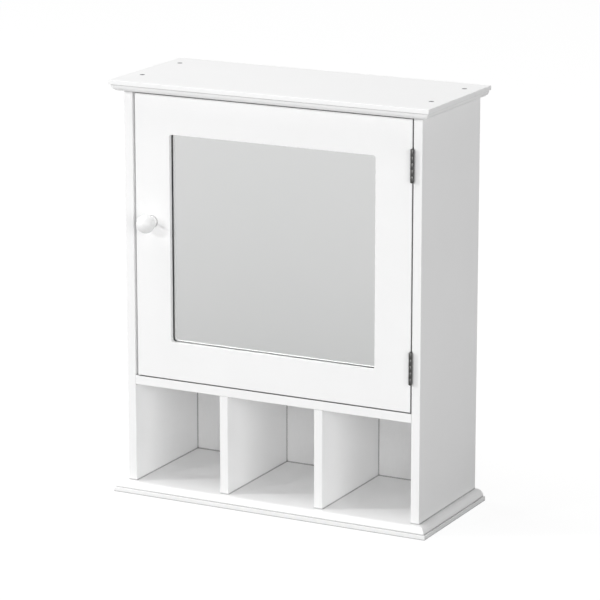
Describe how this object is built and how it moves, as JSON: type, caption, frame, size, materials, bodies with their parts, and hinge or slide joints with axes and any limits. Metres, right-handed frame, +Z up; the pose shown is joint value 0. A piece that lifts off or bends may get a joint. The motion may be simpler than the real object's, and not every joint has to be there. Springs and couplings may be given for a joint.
{
  "type": "bathroom mirror cabinet",
  "caption": "Wall cabinet with a mirrored inset door on butt hinges over a row of open pigeonholes, between moulded top and bottom boards.",
  "frame": {"origin": "centre of the underside of the bottom board, in plan", "axes": "+X to the right as seen from the front, +Y towards the wall, +Z up"},
  "size_m": [0.46, 0.2045, 0.56],
  "materials": {
    "white_lacquer": "satin lacquer on fibreboard",
    "knob_lacquer": "semi-gloss lacquer on turned wood",
    "hardboard": "white face, plain brown rear",
    "mirror": "silvered glass",
    "hinge_steel": "satin nickel plated",
    "plated_steel": "zinc plated",
    "beech": "plain beech",
    "catch_plastic": "moulded, fine matte",
    "magnet": "sintered ferrite"
  },
  "bodies": {
    "cabinet": {"top_board": "white_lacquer", "bottom_board": "white_lacquer", "left_side_panel": "white_lacquer", "right_side_panel": "white_lacquer", "fixed_shelf": "white_lacquer", "left_divider": "white_lacquer", "right_divider": "white_lacquer", "hanging_rail": "white_lacquer", "inner_shelf": "white_lacquer", "back_panel": "hardboard", "shelf_pins": "plated_steel", "shelf_dowels": "beech", "rail_dowels": "beech", "divider_dowels": "beech", "top_board_screws": "plated_steel", "bottom_board_screws": "plated_steel", "divider_screws": "plated_steel", "hinge_body_screws": "hinge_steel", "catch_housing": "catch_plastic", "catch_magnet": "magnet", "catch_pole_plates": "plated_steel", "catch_screws": "plated_steel", "upper_hinge_body_leaf": "hinge_steel", "upper_hinge_pin": "hinge_steel", "lower_hinge_body_leaf": "hinge_steel", "lower_hinge_pin": "hinge_steel"},
    "door": {"door_frame": "white_lacquer", "mirror_glass": "mirror", "mirror_backing": "hardboard", "backing_screws": "plated_steel", "knob": "knob_lacquer", "knob_screw": "plated_steel", "hinge_door_screws": "hinge_steel", "upper_hinge_door_leaf": "hinge_steel", "lower_hinge_door_leaf": "hinge_steel", "strike_plate": "plated_steel", "strike_screws": "plated_steel"}
  },
  "joints": [
    {"name": "door_hinge", "type": "hinge", "parent": "cabinet", "child": "door", "pos_m": [0.202, -0.0826, 0.35275], "axis": [0, 0, 1], "range_deg": [0, 180]}
  ]
}
